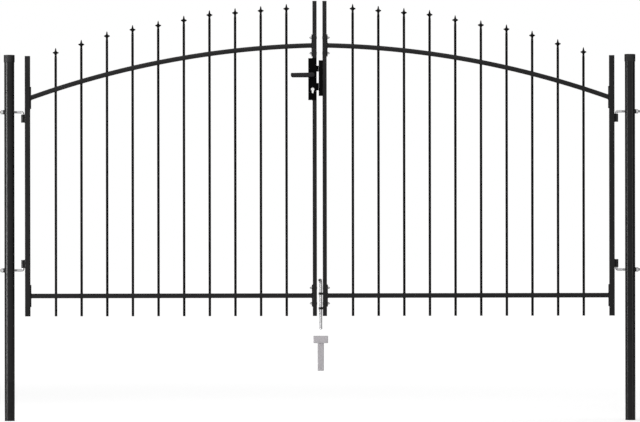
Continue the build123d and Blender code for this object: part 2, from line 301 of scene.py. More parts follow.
# Places worked out from the sizes above, for the left leaf
hinge_heights = {"upper": upper_hook_high.z - hook_radius, "lower": lower_hook_low.z + hook_radius}
bottom_rail_centre = leaf_bottom + bottom_rail_rise
arch_centre_x = gate_centre + arch_apex_overrun
arch_centre_z = cad_high.z - arch_apex_drop - arch_radius
plate_face = panel_high.x - plate_thickness
bar_pitch = (panel_high.x - panel_low.x - bar_spread_allowance) / (bar_count + 1)
bar_places = [panel_low.x + (index + 1) * bar_pitch for index in range(bar_count)]
spear_height = (spear_socket_length + spear_flare_length + spear_rim_thickness
                + spear_crown_length + spear_spike_length)


def arch_height(x, offset=0.0):
    """Height of the arched rail at x, on its centre line or at an offset above it."""
    return arch_centre_z + math.sqrt((arch_radius + offset) ** 2 - (x - arch_centre_x) ** 2)


bar_tops = []
for place_x, extra in zip(bar_places, bar_extra_lengths):
    bar_tops.append(arch_height(place_x) + spear_rise - spear_height + extra)


# Shapes are pairs of points and faces
def loft(rings, closed=False):
    """Faces between rings of points, capped at both ends or closed into a loop."""
    count = len(rings[0])
    points = [Vector(point) for ring in rings for point in ring]
    faces = []
    for level in range(len(rings) if closed else len(rings) - 1):
        here = level * count
        above = (level + 1) % len(rings) * count
        for index in range(count):
            following = (index + 1) % count
            faces.append((here + index, here + following, above + following, above + index))
    if not closed:
        faces.append(tuple(range(count)))
        faces.append(tuple(range(len(points) - count, len(points))))
    return points, faces


def join(*shapes):
    points, faces = [], []
    for shape_points, shape_faces in shapes:
        start = len(points)
        points.extend(shape_points)
        faces.extend(tuple(start + index for index in face) for face in shape_faces)
    return points, faces


def mirrored(shape):
    """The same shape on the right side of the gate."""
    points, faces = shape
    return [Vector((2 * gate_centre - point.x, point.y, point.z)) for point in points], faces


def axes_at(place, forward, upward=(0, 0, 1)):
    """Axes at a place, with Z forward and Y upward."""
    z = Vector(forward).normalized()
    y = (Vector(upward) - z * z.dot(Vector(upward))).normalized()
    return Matrix.Translation(place) @ Matrix((y.cross(z), y, z)).transposed().to_4x4()


def standing_at(x, z):
    return Matrix.Translation((x, 0, z))


def quarter_turns(steps=curve_steps):
    """Angles from zero to a quarter turn."""
    return [math.pi / 2 * step / steps for step in range(steps + 1)]


def circle(radius, count):
    turns = [2 * math.pi * index / count for index in range(count)]
    return [(radius * math.cos(turn), radius * math.sin(turn)) for turn in turns]


def rounded_rectangle(width, height, corner, corner_steps=4, side_steps=1):
    """Outline with round corners, anticlockwise from the right side's top."""
    outline = []
    for quarter, (across, up) in enumerate(((1, 1), (-1, 1), (-1, -1), (1, -1))):
        middle = Vector((across * (width / 2 - corner), up * (height / 2 - corner)))
        for step in range(corner_steps + 1):
            turn = math.pi / 2 * (quarter + step / corner_steps)
            outline.append(middle + corner * Vector((math.cos(turn), math.sin(turn))))
    if side_steps == 1:
        return outline
    divided = []
    for here, following in zip(outline, outline[1:] + outline[:1]):
        steps = side_steps if (following - here).length > corner else 1
        divided.extend(here.lerp(following, step / steps) for step in range(steps))
    return divided


def sweep(outline, places):
    """An outline carried through a list of axes."""
    return loft([[place @ Vector((u, v, 0)) for u, v in outline] for place in places])


def lathe(profile, place, count=round_sides, closed=False):
    """A profile of radius and height, turned about the Z of a place."""
    rings = []
    for radius, height in profile:
        rings.append([place @ Vector((u, v, height)) for u, v in circle(radius, count)])
    return loft(rings, closed)


def tube(outer, inner, length, edge, place, count=round_sides):
    """A round tube with broken edges."""
    profile = [(inner, edge), (inner + edge, 0), (outer - edge, 0), (outer, edge),
               (outer, length - edge), (outer - edge, length),
               (inner + edge, length), (inner, length - edge)]
    return lathe(profile, place, count, closed=True)


def slab(place, width, height, thickness, corner, edge, steps=3):
    """A flat block on the XY of a place, with round corners and round edges."""
    rounding = quarter_turns(steps)
    levels = [(edge * (1 - math.sin(turn)), edge * (1 - math.cos(turn))) for turn in rounding]
    levels += [(inset, thickness - level) for inset, level in reversed(levels)]
    rings = []
    for inset, level in levels:
        rounded = max(corner - inset, edge * least_corner_share)
        outline = rounded_rectangle(width - 2 * inset, height - 2 * inset, rounded)
        rings.append([place @ Vector((u, v, level)) for u, v in outline])
    return loft(rings)


def bead(route, radius, closed=False):
    """A weld bead with ripples along a route of points."""
    route = [Vector(point) for point in route]
    rings = []
    travelled = 0.0
    for index, point in enumerate(route):
        before = route[index - 1] if closed or index else point
        after = route[(index + 1) % len(route)] if closed or index + 1 < len(route) else point
        forward = (after - before).normalized()
        upward = (0, 0, 1) if abs(forward.z) < steep_share else (0, 1, 0)
        travelled += (point - before).length
        swell = 1 + ripple_share * math.sin(2 * math.pi * travelled / ripple_length)
        end = not closed and index in (0, len(route) - 1)
        ring = circle(radius * swell * (bead_end_share if end else 1), bead_sides)
        place = axes_at(point, forward, upward)
        rings.append([place @ Vector((u, v, 0)) for u, v in ring])
    return loft(rings, closed)


def straight_bead(start, end, radius):
    start, end = Vector(start), Vector(end)
    steps = max(bead_least_steps, round(ripple_steps * (end - start).length / ripple_length))
    return bead([start.lerp(end, step / steps) for step in range(steps + 1)], radius)


def threaded_rings(place, start, end, radius, pitch, count):
    """Rings of a screw thread along the Z of a place."""
    depth = thread_depth_share * pitch
    steps = max(1, round(thread_steps * (end - start) / pitch))
    rings = []
    for step in range(steps + 1):
        level = start + (end - start) * step / steps
        ring = []
        for index in range(count):
            turn = 2 * math.pi * index / count
            phase = 2 * math.pi * level / pitch - turn
            reach = radius - depth * (1 - math.cos(phase)) / 2
            ring.append(place @ Vector((reach * math.cos(turn), reach * math.sin(turn), level)))
        rings.append(ring)
    return rings


def round_rings(place, levels, count):
    """Round rings of given radius and height along the Z of a place."""
    return [[place @ Vector((u, v, level)) for u, v in circle(radius, count)] for radius, level in levels]


def bent_rings(start, corner, end, bend, radius, chamfer, count, steps=bend_steps):
    """Rings of a round rod from near start, round one bend, to a chamfered end."""
    start, corner, end = Vector(start), Vector(corner), Vector(end)
    into, out = (corner - start).normalized(), (end - corner).normalized()
    side = into.cross(out).normalized()
    angle = into.angle(out)
    reach = bend * math.tan(angle / 2)
    hub = corner - into * reach + (out - into * into.dot(out)).normalized() * bend
    places = [axes_at(start, into, side)]
    for step in range(steps + 1):
        turned = Matrix.Rotation(angle * step / steps, 3, side)
        places.append(axes_at(hub + turned @ (corner - into * reach - hub), turned @ into, side))
    places.append(axes_at(end - out * chamfer, out, side))
    rings = [[place @ Vector((u, v, 0)) for u, v in circle(radius, count)] for place in places]
    last = axes_at(end, out, side)
    return rings + [[last @ Vector((u, v, 0)) for u, v in circle(radius - chamfer, count)]]


def hex_nut(place, across, thickness, bore):
    """A hexagon nut with its corners turned off at both faces."""
    face_radius = nut_face_share * across / 2
    columns = []
    for index in range(round_sides):
        turn = 2 * math.pi * index / round_sides
        within = (turn + math.pi / 6) % (math.pi / 3) - math.pi / 6
        reach = across / 2 / math.cos(within)
        fall = (reach - face_radius) * math.tan(math.pi / 6)
        heading = Vector((math.cos(turn), math.sin(turn), 0))
        columns.append([heading * bore, heading * face_radius, heading * reach + Vector((0, 0, fall)),
                        heading * reach + Vector((0, 0, thickness - fall)),
                        heading * face_radius + Vector((0, 0, thickness)),
                        heading * bore + Vector((0, 0, thickness))])
    rings = [[place @ point for point in ring] for ring in zip(*columns)]
    return loft(rings, closed=True)


# Materials
def new_material(name, colour, metallic, roughness, specular):
    material = bpy.data.materials.new(name)
    material.use_nodes = True
    shader = material.node_tree.nodes["Principled BSDF"]
    shader.inputs["Base Color"].default_value = (*colour, 1)
    shader.inputs["Metallic"].default_value = metallic
    shader.inputs["Roughness"].default_value = roughness
    shader.inputs["Specular IOR Level"].default_value = specular
    return material


def texture(material, kind, scale, stretch=(1, 1, 1), **settings):
    """A procedural texture in the object's own coordinates."""
    nodes, links = material.node_tree.nodes, material.node_tree.links
    mapping = nodes.new("ShaderNodeMapping")
    mapping.inputs["Scale"].default_value = stretch
    links.new(nodes.new("ShaderNodeTexCoord").outputs["Object"], mapping.inputs["Vector"])
    made = nodes.new(kind)
    made.inputs["Scale"].default_value = scale
    for name, value in settings.items():
        made.inputs[name].default_value = value
    links.new(mapping.outputs["Vector"], made.inputs["Vector"])
    return made


def vary_roughness(material, value, low, high):
    nodes, links = material.node_tree.nodes, material.node_tree.links
    spread = nodes.new("ShaderNodeMapRange")
    spread.inputs["From Min"].default_value = noise_low
    spread.inputs["From Max"].default_value = noise_high
    spread.inputs["To Min"].default_value = low
    spread.inputs["To Max"].default_value = high
    links.new(value, spread.inputs["Value"])
    links.new(spread.outputs["Result"], nodes["Principled BSDF"].inputs["Roughness"])


def vary_colour(material, value, dark, light, low=0.35, high=0.65):
    nodes, links = material.node_tree.nodes, material.node_tree.links
    ramp = nodes.new("ShaderNodeValToRGB")
    ramp.color_ramp.elements[0].position = low
    ramp.color_ramp.elements[1].position = high
    ramp.color_ramp.elements[0].color = (*dark, 1)
    ramp.color_ramp.elements[1].color = (*light, 1)
    links.new(value, ramp.inputs["Fac"])
    links.new(ramp.outputs["Color"], nodes["Principled BSDF"].inputs["Base Color"])


def raise_surface(material, value, height, strength=1.0):
    nodes, links = material.node_tree.nodes, material.node_tree.links
    bump = nodes.new("ShaderNodeBump")
    bump.inputs["Distance"].default_value = height
    bump.inputs["Strength"].default_value = strength
    links.new(value, bump.inputs["Height"])
    links.new(bump.outputs["Normal"], nodes["Principled BSDF"].inputs["Normal"])


def grey(level):
    return (level, level * green_share, level)


def shades(level, share):
    """A darker and a lighter grey."""
    return grey(level * (1 - share)), grey(level * (1 + share))


def powder_coat(name, level, specular, low, high):
    material = new_material(name, grey(level), metallic=0.0, roughness=(low + high) / 2, specular=specular)
    peel = texture(material, "ShaderNodeTexNoise", scale=350, Detail=1.0)
    cloud = texture(material, "ShaderNodeTexNoise", scale=9, Detail=4.0)
    vary_roughness(material, cloud.outputs["Fac"], low, high)
    vary_colour(material, cloud.outputs["Fac"], *shades(level, coat_shade_share))
    raise_surface(material, peel.outputs["Fac"], height=0.00001)
    return material


def black_plastic():
    material = new_material("black_plastic", grey(0.010), metallic=0.0, roughness=0.55, specular=0.2)
    grain = texture(material, "ShaderNodeTexNoise", scale=1500, Detail=3.0)
    cloud = texture(material, "ShaderNodeTexNoise", scale=25, Detail=3.0)
    vary_roughness(material, cloud.outputs["Fac"], low=0.48, high=0.62)
    vary_colour(material, cloud.outputs["Fac"], dark=grey(0.008), light=grey(0.012))
    raise_surface(material, grain.outputs["Fac"], height=0.00004)
    return material


def lock_black(name, level, specular, low, high):
    material = new_material(name, grey(level), metallic=0.0, roughness=(low + high) / 2, specular=specular)
    grain = texture(material, "ShaderNodeTexNoise", scale=1100, Detail=3.0)
    cloud = texture(material, "ShaderNodeTexNoise", scale=30, Detail=3.0)
    vary_roughness(material, cloud.outputs["Fac"], low, high)
    vary_colour(material, cloud.outputs["Fac"], *shades(level, lock_shade_share))
    raise_surface(material, grain.outputs["Fac"], height=0.00003)
    return material


def zinc():
    material = new_material("zinc", grey(0.39), metallic=1.0, roughness=0.48, specular=0.5)
    cloud = texture(material, "ShaderNodeTexNoise", scale=120, Detail=4.0)
    drawn = texture(material, "ShaderNodeTexNoise", scale=900, stretch=(1, 1, 0.06), Detail=2.0)
    vary_roughness(material, cloud.outputs["Fac"], low=0.48, high=0.6)
    vary_colour(material, cloud.outputs["Fac"], dark=(0.355, 0.355, 0.365), light=(0.425, 0.42, 0.42))
    raise_surface(material, drawn.outputs["Fac"], height=0.000004)
    return material


def socket_zinc():
    material = new_material("socket_zinc", grey(0.38), metallic=0.35, roughness=0.6, specular=0.3)
    spangle = texture(material, "ShaderNodeTexVoronoi", scale=190)
    cloud = texture(material, "ShaderNodeTexNoise", scale=60, Detail=4.0)
    vary_roughness(material, cloud.outputs["Fac"], low=0.5, high=0.68)
    vary_colour(material, spangle.outputs["Color"], dark=grey(0.36), light=grey(0.40), low=0.2, high=0.8)
    raise_surface(material, cloud.outputs["Fac"], height=0.00008)
    return material


def nickel():
    material = new_material("nickel", (0.68, 0.68, 0.665), metallic=1.0, roughness=0.25, specular=0.5)
    cloud = texture(material, "ShaderNodeTexNoise", scale=200, Detail=3.0)
    brushed = texture(material, "ShaderNodeTexNoise", scale=2400, stretch=(1, 1, 0.05), Detail=2.0)
    vary_roughness(material, cloud.outputs["Fac"], low=0.2, high=0.32)
    vary_colour(material, cloud.outputs["Fac"], dark=(0.64, 0.64, 0.625), light=(0.72, 0.72, 0.705))
    raise_surface(material, brushed.outputs["Fac"], height=0.00001)
    return material


materials = {
    "powder_coat": powder_coat("powder_coat", level=0.0085, specular=0.13, low=0.24, high=0.32),
    "bar_coat": powder_coat("bar_coat", level=0.0025, specular=0.045, low=0.45, high=0.55),
    "black_plastic": black_plastic(),
    "lock_black": lock_black("lock_black", level=0.0013, specular=0.018, low=0.5, high=0.62),
    "keeper_black": lock_black("keeper_black", level=0.0017, specular=0.024, low=0.45, high=0.58),
    "lever_black": lock_black("lever_black", level=0.016, specular=0.07, low=0.4, high=0.5),
    "zinc": zinc(),
    "socket_zinc": socket_zinc(),
    "nickel": nickel(),
}


# Pieces
def smooth(mesh):
    mesh.shade_smooth()
    mesh.set_sharp_from_angle(angle=smooth_angle)


def add_piece(name, shape, body, finish, *nodes):
    """A new piece on a body, which stands for any nodes that are named."""
    mesh = bpy.data.meshes.new(name)
    mesh.from_pydata(shape[0], [], shape[1])
    whole = bmesh.new()
    whole.from_mesh(mesh)
    bmesh.ops.recalc_face_normals(whole, faces=whole.faces)
    whole.to_mesh(mesh)
    whole.free()
    smooth(mesh)
    mesh.materials.append(materials[finish])
    piece = bpy.data.objects.new(name, mesh)
    bpy.context.scene.collection.objects.link(piece)
    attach(piece, body)
    if nodes:
        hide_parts(*nodes)
    return piece


def add_pair(name, shape, body, finish, node=None):
    """A piece of the left side and its mirror image on the right side."""
    for side, made in (("left", shape), ("right", mirrored(shape))):
        nodes = [f"{side}_{node}"] if node else []
        add_piece(f"{side}_{name}", made, body if body == "posts" else f"{side}_{body}", finish, *nodes)


# Posts
def post_cap():
    bottom, top = cap_low.z, cap_high.z
    inner = post_radius + cap_skirt_edge / 2
    profile = [(inner, top - cap_edge), (inner, bottom + cap_skirt_edge), (inner + cap_skirt_edge, bottom),
               (cap_radius - cap_skirt_edge, bottom), (cap_radius, bottom + cap_skirt_edge)]
    for turn in quarter_turns():
        profile.append((cap_radius - cap_edge * (1 - math.cos(turn)),
                        top - cap_crown - cap_edge * (1 - math.sin(turn))))
    for share in cap_crown_shares:
        profile.append((share * (cap_radius - cap_edge), top - cap_crown * share ** 2))
    return lathe(profile, standing_at(0, 0), fine_sides)


def hinge_hook(height, turn):
    """Zinc hook: threaded from its outer end through the post, then bent into the hinge pin."""
    outer_end = upper_hook_low.x
    pin_end = upper_hook_low.z if turn < 0 else lower_hook_high.z
    outside = axes_at((outer_end, 0, height), (1, 0, 0))
    rings = round_rings(outside, [(hook_radius - hook_chamfer, 0)], hook_sides)
    rings += threaded_rings(outside, hook_chamfer, hook_thread_length, hook_radius, hook_pitch, hook_sides)
    start = (outer_end + hook_thread_length + hook_pitch, 0, height)
    rings += bent_rings(start, (hinge_axis, 0, height), (hinge_axis, 0, pin_end),
                        hook_bend, hook_radius, hook_chamfer, hook_sides)
    return loft(rings)


def saddle_washer(height):
    """Plastic washer that follows the post's round surface."""
    top = post_radius + saddle_thickness
    levels = [(hook_radius, None), (saddle_radius, None), (saddle_radius, top - saddle_edge),
              (saddle_radius - saddle_edge, top), (hook_radius, top)]
    rings = []
    for radius, level in levels:
        ring = []
        for u, v in circle(radius, round_sides):
            reach = math.sqrt(post_radius ** 2 - u ** 2) if level is None else level
            ring.append((-reach, u, height + v))
        rings.append(ring)
    return loft(rings, closed=True)


def hook_nut(height):
    outside = axes_at((-post_radius - saddle_thickness, 0, height), (-1, 0, 0))
    return hex_nut(outside, nut_across, nut_thickness, hook_radius - hook_chamfer / 2)


def hinge_barrel(bottom):
    return tube(barrel_radius, barrel_bore, barrel_length, barrel_edge, standing_at(hinge_axis, bottom))


def barrel_welds(bottom):
    """Beads on both sides of a barrel and across both its ends."""
    stile_face = hinge_stile_low.x
    reach = barrel_radius * barrel_weld_share
    beads = []
    for side in (-1, 1):
        start = (stile_face - hinge_bead / 2, side * reach, bottom)
        end = (stile_face - hinge_bead / 2, side * reach, bottom + barrel_length)
        beads.append(straight_bead(start, end, hinge_bead))
    for level in (bottom, bottom + barrel_length):
        start = (stile_face - barrel_end_sink, -reach, level)
        end = (stile_face - barrel_end_sink, reach, level)
        beads.append(straight_bead(start, end, barrel_end_bead))
    return join(*beads)


# Stiles
def square_tube(low, high, bottom, top):
    """A square tube with round corners, between two heights."""
    side = high.x - low.x
    middle = (low.x + high.x) / 2
    outline = rounded_rectangle(side, side, stile_corner, tube_corner_steps)
    return sweep(outline, [standing_at(middle, bottom), standing_at(middle, top)])


def tube_plugs(low, high):
    side = high.x - low.x
    middle = (low.x + high.x) / 2
    plugs = []
    for level, forward in ((low.z + plug_head, -1), (high.z - plug_head, 1)):
        place = axes_at((middle, 0, level), (0, 0, forward), (0, 1, 0))
        plugs.append(slab(place, side, side, plug_head, stile_corner, plug_edge))
    return join(*plugs)


# Panels
def arched_rail():
    start, end = panel_low.x + plate_thickness, plate_face
    outline = rounded_rectangle(rail_depth, rail_height, rail_corner, tube_corner_steps)
    rings = []
    for step in range(arch_steps + 1):
        x = start + (end - start) * step / arch_steps
        rings.append([(x, u, arch_height(x, v)) for u, v in outline])
    return loft(rings)


def bottom_rail():
    outline = rounded_rectangle(rail_depth, rail_height, rail_corner, tube_corner_steps)
    ends = (panel_low.x + plate_thickness, plate_face)
    return sweep(outline, [axes_at((x, 0, bottom_rail_centre), (1, 0, 0)) for x in ends])


def end_plates():
    plates = []
    for edge, forward in ((panel_low.x, 1), (panel_high.x, -1)):
        middle = edge + forward * plate_thickness / 2
        for height in (bottom_rail_centre, arch_height(middle)):
            place = axes_at((edge, 0, height), (forward, 0, 0))
            plates.append(slab(place, rail_depth, plate_height, plate_thickness, plate_corner, plate_edge))
    return join(*plates)


def round_bar(x, top):
    profile = [(bar_radius - bar_end_edge, leaf_bottom),
               (bar_radius, leaf_bottom + bar_end_edge),
               (bar_radius, top)]
    return lathe(profile, standing_at(x, 0), bar_sides)


def spear_tip(x, foot):
    """Socket, flared collar with a round rim, hollow crown and slim spike."""
    rim_bottom = spear_socket_length + spear_flare_length
    rim_top = rim_bottom + spear_rim_thickness
    rim_middle = (rim_bottom + rim_top) / 2
    rim_start = spear_rim_radius - spear_rim_edge
    spike_foot = rim_top + spear_crown_length
    profile = [(bar_radius, 0)]
    for turn in quarter_turns():
        profile.append((spear_neck_radius + (rim_start - spear_neck_radius) * (1 - math.cos(turn)),
                        spear_socket_length + spear_flare_length * math.sin(turn)))
    for step in range(1, curve_steps):
        turn = math.pi * step / curve_steps - math.pi / 2
        profile.append((spear_rim_radius - spear_rim_edge * (1 - math.cos(turn)),
                        rim_middle + spear_rim_thickness / 2 * math.sin(turn)))
    for turn in quarter_turns():
        profile.append((rim_start - (rim_start - spear_spike_radius) * math.sin(turn),
                        rim_top + spear_crown_length * (1 - math.cos(turn))))
    profile += [(spear_spike_radius * spear_waist_radius_share,
                 spike_foot + spear_spike_length * spear_waist_height_share),
                (spear_point_radius, spear_height)]
    return lathe(profile, standing_at(x, foot), bar_sides)


def bar_welds():
    """A thin bead round each bar, above and below both rails."""
    beads = []
    around = circle(bar_radius, bar_bead_steps)
    for x in bar_places:
        for side in (-1, 1):
            rise = side * rail_height / 2
            lower = [(x + u, v, bottom_rail_centre + rise) for u, v in around]
            upper = [(x + u, v, arch_height(x + u, rise)) for u, v in around]
            beads.append(bead(lower, bar_bead, closed=True))
            beads.append(bead(upper, bar_bead, closed=True))
    return join(*beads)


def rail_welds():
    """A bead round each end of both rails, where they meet the plates."""
    beads = []
    outline = rounded_rectangle(rail_depth, rail_height, rail_corner,
                                rail_bead_corner_steps, rail_bead_side_steps)
    for x in (panel_low.x + plate_thickness, plate_face):
        beads.append(bead([(x, u, bottom_rail_centre + v) for u, v in outline], rail_bead, closed=True))
        beads.append(bead([(x, u, arch_height(x, v)) for u, v in outline], rail_bead, closed=True))
    return join(*beads)


# Bolts through the meeting stiles
def bolt_heights():
    """Heights of the bolts, two through each end plate."""
    centres = (bottom_rail_centre, arch_height(plate_face + plate_thickness / 2))
    return [centre + side * bolt_spacing / 2 for centre in centres for side in (-1, 1)]


def bolt(height):
    """Low domed head in the gap, and a washer, a nut and a threaded end on the panel's side."""
    dome = [(bolt_head_radius, 0)]
    for turn in quarter_turns():
        rise = bolt_head_rim_share + (1 - bolt_head_rim_share) * math.sin(turn)
        dome.append((max(bolt_head_radius * math.cos(turn), bolt_head_tip_radius), bolt_head_height * rise))
    head = lathe(dome, axes_at((meeting_face, 0, height), (1, 0, 0)))
    inside = axes_at((plate_face, 0, height), (-1, 0, 0))
    washer = tube(bolt_washer_radius, bolt_radius, bolt_washer_thickness, bolt_washer_edge, inside)
    on_washer = inside @ Matrix.Translation((0, 0, bolt_washer_thickness))
    nut = hex_nut(on_washer, bolt_nut_across, bolt_nut_thickness, bolt_nut_bore)
    thread_end = bolt_end_length - bolt_end_chamfer
    rings = threaded_rings(inside, 0, thread_end, bolt_radius, bolt_pitch, bolt_sides)
    rings += round_rings(inside, [(bolt_radius - bolt_end_chamfer, bolt_end_length)], bolt_sides)
    return join(head, washer, nut, loft(rings))


# Lock
def plug_rings():
    """Raised ring round the key plug, on both faces of the cylinder."""
    axis_x = (cylinder_low.x + cylinder_high.x) / 2
    axis_z = cylinder_high.z - (cylinder_high.x - cylinder_low.x) / 2
    rings = []
    for face, forward in ((cylinder_low.y, -1), (cylinder_high.y, 1)):
        place = axes_at((axis_x, face - forward * plug_ring_proud, axis_z), (0, forward, 0))
        rings.append(tube(plug_ring_radius, plug_ring_radius - plug_ring_width, 2 * plug_ring_proud,
                          plug_ring_edge, place, ring_sides))
    return join(*rings)


def lock_welds():
    """Beads where the two lengths of the meeting stile meet the lock case."""
    inner, outer = meeting_stile_low.x, meeting_face - stile_corner
    half = (meeting_face - inner) / 2
    beads = []
    for level in (lock_low.z, lock_high.z):
        beads.append(straight_bead((inner, -half, level), (inner, half, level), lock_bead))
        for y in (-half, half):
            beads.append(straight_bead((inner, y, level), (outer, y, level), rail_bead))
    return join(*beads)


def lock_keeper():
    """Shallow box, open towards the lock."""
    height = keeper_high.z - keeper_low.z
    depth = keeper_high.y - keeper_low.y
    middle = (keeper_high.x, 0, (keeper_low.z + keeper_high.z) / 2)
    place = axes_at(middle, (-1, 0, 0))
    length = keeper_high.x - keeper_low.x
    levels = [(keeper_edge, 0), (0, keeper_edge), (0, length - keeper_edge), (keeper_edge, length),
              (keeper_wall - keeper_edge, length), (keeper_wall, length - keeper_edge),
              (keeper_wall, keeper_wall)]
    rings = []
    for inset, level in levels:
        outline = rounded_rectangle(depth - 2 * inset, height - 2 * inset, keeper_edge)
        rings.append([place @ Vector((u, v, level)) for u, v in outline])
    return loft(rings)


def keeper_welds():
    """Short beads behind the keeper, along both corners of the stile."""
    half = (meeting_face - meeting_stile_low.x) / 2
    height = keeper_high.z - keeper_low.z
    beads = []
    for y in (-half, half):
        for share in keeper_weld_shares:
            bottom = keeper_low.z + share * height
            top = bottom + height * keeper_weld_length_share
            beads.append(straight_bead((keeper_high.x, y, bottom), (keeper_high.x, y, top), rail_bead))
    return join(*beads)


# Drop bolt, guides and ground socket
rod_axis = (upper_guide_low.x + upper_guide_high.x) / 2
handle_heading = Vector((-math.sin(rod_handle_turn), -math.cos(rod_handle_turn), 0))
handle_corner = Vector((rod_axis, 0, rod_high.z - rod_radius))
handle_end = handle_corner + rod_handle_length * handle_heading


def drop_bolt():
    tip = standing_at(rod_axis, rod_low.z)
    rings = round_rings(tip, [(rod_radius - rod_chamfer, 0)], rod_sides)
    rings += bent_rings((rod_axis, 0, rod_low.z + rod_chamfer), handle_corner, handle_end,
                        rod_bend, rod_radius, rod_handle_chamfer, rod_sides, handle_bend_steps)
    return loft(rings)


def handle_shade_cap():
    """Thin black cap on the end of the drop bolt's handle: painted shade that darkens the handle's end."""
    edge = rod_shade_cap_thickness / 2
    levels = [(rod_shade_cap_radius, 0), (rod_shade_cap_radius, edge), (rod_shade_cap_radius - edge, rod_shade_cap_thickness)]
    return lathe(levels, axes_at(handle_end, handle_heading), rod_sides)


def rod_guide(low, high):
    """A ring on the rod, with a weld bead on each side."""
    ring = tube(guide_radius, guide_bore, high.z - low.z, guide_edge, standing_at(rod_axis, low.z))
    x = right_meeting_face - rail_bead / 2
    reach = guide_radius * guide_weld_share
    return join(ring, *(straight_bead((x, y, low.z), (x, y, high.z), guide_bead) for y in (-reach, reach)))


def ground_socket():
    """T-shaped socket with soft edges and a round bore in its head."""
    middle = (socket_low.x + socket_high.x) / 2
    head = socket_high.x - socket_low.x
    top = socket_high.z
    neck = top - socket_head_height
    top_edge = socket_edge * socket_top_edge_share
    levels = [(socket_stem_side, socket_stem_side, socket_low.z, socket_edge),
              (socket_stem_side, socket_stem_side, socket_low.z + socket_edge, 0),
              (socket_stem_side, socket_stem_side, neck, 0),
              (head, socket_head_depth, neck, socket_edge),
              (head, socket_head_depth, neck + socket_edge, 0),
              (head, socket_head_depth, top - socket_edge, 0),
              (head, socket_head_depth, top - top_edge, top_edge),
              (head, socket_head_depth, top, socket_edge)]
    rings = []
    for width, depth, level, inset in levels:
        outline = rounded_rectangle(width - 2 * inset, depth - 2 * inset, socket_corner,
                                    socket_corner_steps, socket_side_steps)
        rings.append([(middle + u, v, level) for u, v in outline])
    bore = [(socket_bore_radius + socket_mouth, top),
            (socket_bore_radius, top - socket_mouth),
            (socket_bore_radius, top - socket_bore_depth)]
    for radius, level in bore:
        headings = [Vector((x - middle, y)).normalized() * radius for x, y, z in rings[0]]
        rings.append([(middle + u, v, level) for u, v in headings])
    return loft(rings)


# The posts' side
post_tube = tube(post_radius, post_radius - post_wall, post_high.z, post_edge,
                 standing_at(0, 0), fine_sides)
add_pair("post_tube", post_tube, "posts", "powder_coat", "post")
add_pair("post_cap_cover", post_cap(), "posts", "black_plastic", "post_cap")
for level, turn in (("upper", -1), ("lower", 1)):
    hook = hinge_hook(hinge_heights[level], turn)
    add_pair(f"{level}_hook_rod", hook, "posts", "zinc", f"{level}_hinge_hook")
hook_nuts = join(*map(hook_nut, hinge_heights.values()))
saddles = join(*map(saddle_washer, hinge_heights.values()))
add_pair("hook_hex_nuts", hook_nuts, "posts", "zinc", "hook_nuts")
add_pair("saddles", saddles, "posts", "black_plastic", "saddle_washers")
add_piece("socket_body", ground_socket(), "posts", "socket_zinc", "ground_socket")

# The leaves
barrel_bottoms = (barrel_low.z, barrel_high.z - barrel_length)
add_pair("barrels", join(*map(hinge_barrel, barrel_bottoms)), "leaf", "powder_coat", "hinge_barrels")
add_pair("barrel_welds", join(*map(barrel_welds, barrel_bottoms)), "leaf", "powder_coat")
hinge_stile = square_tube(hinge_stile_low, hinge_stile_high, hinge_stile_low.z, hinge_stile_high.z)
hinge_stile_ends = tube_plugs(hinge_plug_low, hinge_plug_high)
meeting_stile_ends = tube_plugs(meeting_plug_low, meeting_plug_high)
add_pair("hinge_stile_tube", hinge_stile, "leaf", "powder_coat", "hinge_stile")
add_pair("hinge_stile_ends", hinge_stile_ends, "leaf", "black_plastic", "hinge_stile_plugs")
add_pair("meeting_stile_ends", meeting_stile_ends, "leaf", "black_plastic", "meeting_stile_plugs")
below_lock = square_tube(meeting_stile_low, meeting_stile_high, meeting_stile_low.z, lock_low.z)
above_lock = square_tube(meeting_stile_low, meeting_stile_high, lock_high.z, meeting_stile_high.z)
whole_stile = square_tube(meeting_stile_low, meeting_stile_high, meeting_stile_low.z, meeting_stile_high.z)
lock_stile = join(below_lock, above_lock)
add_piece("left_meeting_tubes", lock_stile, "left_leaf", "powder_coat", "left_meeting_stile")
add_piece("right_meeting_tube", mirrored(whole_stile), "right_leaf", "powder_coat", "right_meeting_stile")
add_pair("rails", join(arched_rail(), bottom_rail()), "leaf", "powder_coat", "panel")
add_pair("end_plates", end_plates(), "leaf", "powder_coat", "panel")
add_pair("bars", join(*map(round_bar, bar_places, bar_tops)), "leaf", "bar_coat", "panel")
add_pair("turned_spears", join(*map(spear_tip, bar_places, bar_tops)), "leaf", "bar_coat", "spear_tips")
add_pair("bar_welds", bar_welds(), "leaf", "powder_coat")
add_pair("rail_welds", rail_welds(), "leaf", "powder_coat")
add_pair("bolts", join(*map(bolt, bolt_heights())), "leaf", "zinc")

# The lock, the keeper and the drop bolt
add_piece("plug_rings", plug_rings(), "left_leaf", "nickel")
add_piece("lock_welds", lock_welds(), "left_leaf", "powder_coat")
add_piece("keeper_box", lock_keeper(), "right_leaf", "keeper_black", "lock_keeper")
add_piece("keeper_welds", keeper_welds(), "right_leaf", "powder_coat")
upper_guide = rod_guide(upper_guide_low, upper_guide_high)
lower_guide = rod_guide(lower_guide_low, lower_guide_high)
add_piece("upper_rod_guide", upper_guide, "right_leaf", "powder_coat", "upper_drop_bolt_guide")
add_piece("lower_rod_guide", lower_guide, "right_leaf", "powder_coat", "lower_drop_bolt_guide")
add_piece("drop_rod", drop_bolt(), "drop_rod", "zinc", "drop_bolt")
# The handle's black cap is painted shade on the handle's end
add_piece("drop_rod_shade_cap", handle_shade_cap(), "drop_rod", "black_plastic")
kept_nodes = {
    "lock_case": "lock_black",
    "lock_cylinder": "nickel",
    "latch_bolt": "keeper_black",
    "dead_bolt": "keeper_black",
    "front_lever": "lever_black",
    "back_lever": "lever_black",
    "lever_spindle": "zinc",
}
